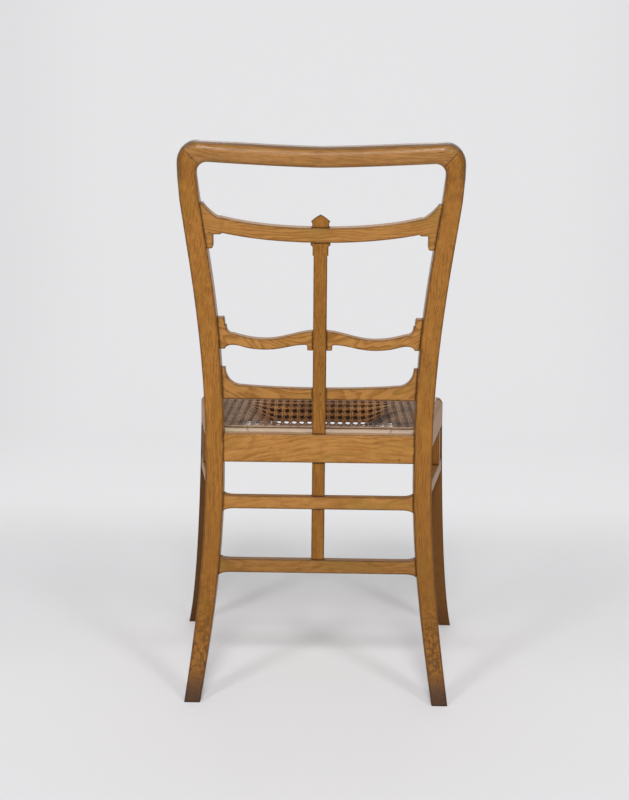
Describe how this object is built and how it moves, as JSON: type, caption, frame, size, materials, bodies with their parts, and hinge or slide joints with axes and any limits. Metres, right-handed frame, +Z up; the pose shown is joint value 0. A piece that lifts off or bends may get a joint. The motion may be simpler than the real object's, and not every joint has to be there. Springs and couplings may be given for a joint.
{
  "type": "shield back dining chair",
  "caption": "Wooden dining chair with an open shield-shaped back of shaped rails and a caned drop-in seat.",
  "frame": {"origin": "on the floor, below the middle of the chair's bounding box", "axes": "+X to the right seen from behind the chair, +Y from the back of the chair to its front, +Z up"},
  "size_m": [0.534, 0.529, 0.942],
  "materials": {
    "post_wood": "varnished oak, brown",
    "rail_wood": "varnished oak, honey",
    "frame_wood": "varnished oak, satin",
    "raw_wood": "plain unfinished wood",
    "cane": "woven cane, aged and satin",
    "screw_steel": "plain steel"
  },
  "bodies": {
    "root": {"rear_post_right": "post_wood", "rear_post_left": "post_wood", "front_leg_right": "post_wood", "front_leg_left": "post_wood", "crest_rail": "rail_wood", "upper_back_rail": "rail_wood", "middle_back_rail": "rail_wood", "lower_back_rail": "rail_wood", "centre_post": "post_wood", "lower_centre_post": "post_wood", "rear_upper_stretcher": "rail_wood", "rear_lower_stretcher": "rail_wood", "rear_seat_rail": "rail_wood", "front_seat_rail": "rail_wood", "side_seat_rail_right": "rail_wood", "side_seat_rail_left": "rail_wood", "side_stretcher_right": "rail_wood", "side_stretcher_left": "rail_wood", "side_slat_right": "post_wood", "side_slat_left": "post_wood", "seat_frame_rear": "frame_wood", "seat_frame_front": "frame_wood", "seat_frame_side_right": "frame_wood", "seat_frame_side_left": "frame_wood", "cane_net": "cane", "cane_binder": "cane", "corner_block_rear_right": "raw_wood", "corner_block_rear_left": "raw_wood", "corner_block_front_right": "raw_wood", "corner_block_front_left": "raw_wood", "cross_screw_rear_right": "screw_steel", "cross_screw_rear_left": "screw_steel", "side_screw_rear_right": "screw_steel", "side_screw_rear_left": "screw_steel", "seat_screw_rear_right": "screw_steel", "seat_screw_rear_left": "screw_steel", "cross_screw_front_right": "screw_steel", "cross_screw_front_left": "screw_steel", "side_screw_front_right": "screw_steel", "side_screw_front_left": "screw_steel", "seat_screw_front_right": "screw_steel", "seat_screw_front_left": "screw_steel", "crest_dowel_inner_right": "raw_wood", "crest_dowel_inner_left": "raw_wood", "crest_dowel_outer_right": "raw_wood", "crest_dowel_outer_left": "raw_wood"}
  },
  "joints": []
}
